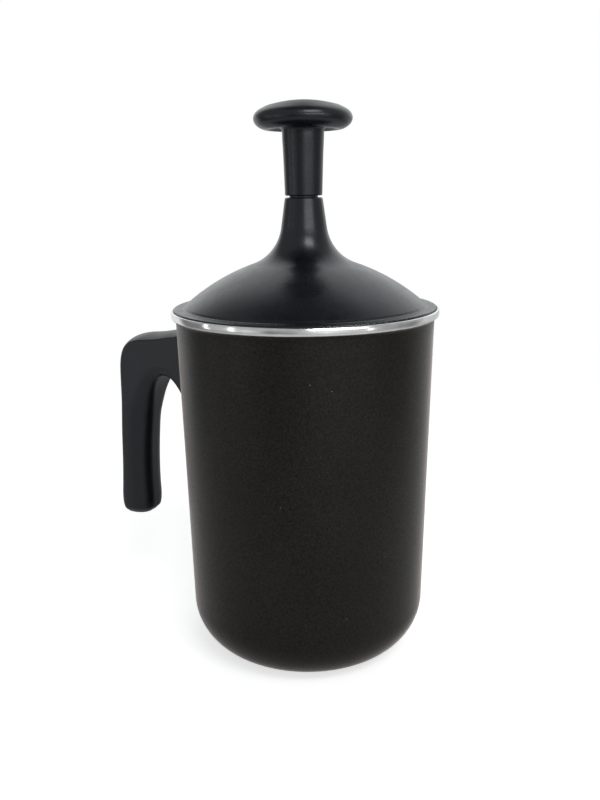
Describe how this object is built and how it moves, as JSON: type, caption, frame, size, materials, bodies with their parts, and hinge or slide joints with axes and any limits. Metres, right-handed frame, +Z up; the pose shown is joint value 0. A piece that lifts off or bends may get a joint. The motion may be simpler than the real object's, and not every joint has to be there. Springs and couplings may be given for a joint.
{
  "type": "milk frother",
  "caption": "Hand-pumped milk frother: a tall dark coated pot with a rounded base and a side handle, and a domed lid whose long neck guides a mushroom knob and a rod with mesh discs.",
  "frame": {"origin": "middle of the pot's flat base", "axes": "+Z up along the pot's axis, the handle points along -X, the whole stands on its base with the plunger down"},
  "size_m": [0.145, 0.104, 0.2163],
  "materials": {
    "pot_coated": "satin",
    "bare_aluminium": "satin",
    "handle_plastic": "matte",
    "lid_plastic": "satin",
    "knob_plastic": "satin",
    "bush_plastic": "matte",
    "steel": "satin",
    "woven_steel": "satin",
    "brass": "satin"
  },
  "bodies": {
    "pot": {"pot": "pot_coated", "handle": "handle_plastic", "handle_boss": "bare_aluminium", "handle_screw": "steel", "handle_lock_washer": "steel", "handle_screw_cap": "handle_plastic"},
    "lid": {"lid": "lid_plastic", "upper_guide_bush": "bush_plastic", "lower_guide_bush": "bush_plastic"},
    "plunger": {"knob": "knob_plastic", "knob_insert": "brass", "plunger_rod": "steel", "filter_nut": "steel", "cross_plate": "steel", "lower_screen": "woven_steel", "lower_edge_spring": "steel", "filter_spacer": "steel", "upper_screen": "woven_steel", "upper_edge_spring": "steel", "top_plate": "steel", "rod_washer": "steel", "rod_lock_nut": "steel"}
  },
  "joints": [
    {"name": "lid_lift", "type": "slide", "parent": "pot", "child": "lid", "axis": [0, 0, 1], "range_m": [0, 0.14]},
    {"name": "plunger_slide", "type": "slide", "parent": "lid", "child": "plunger", "axis": [0, 0, 1], "range_m": [0, 0.111]}
  ]
}
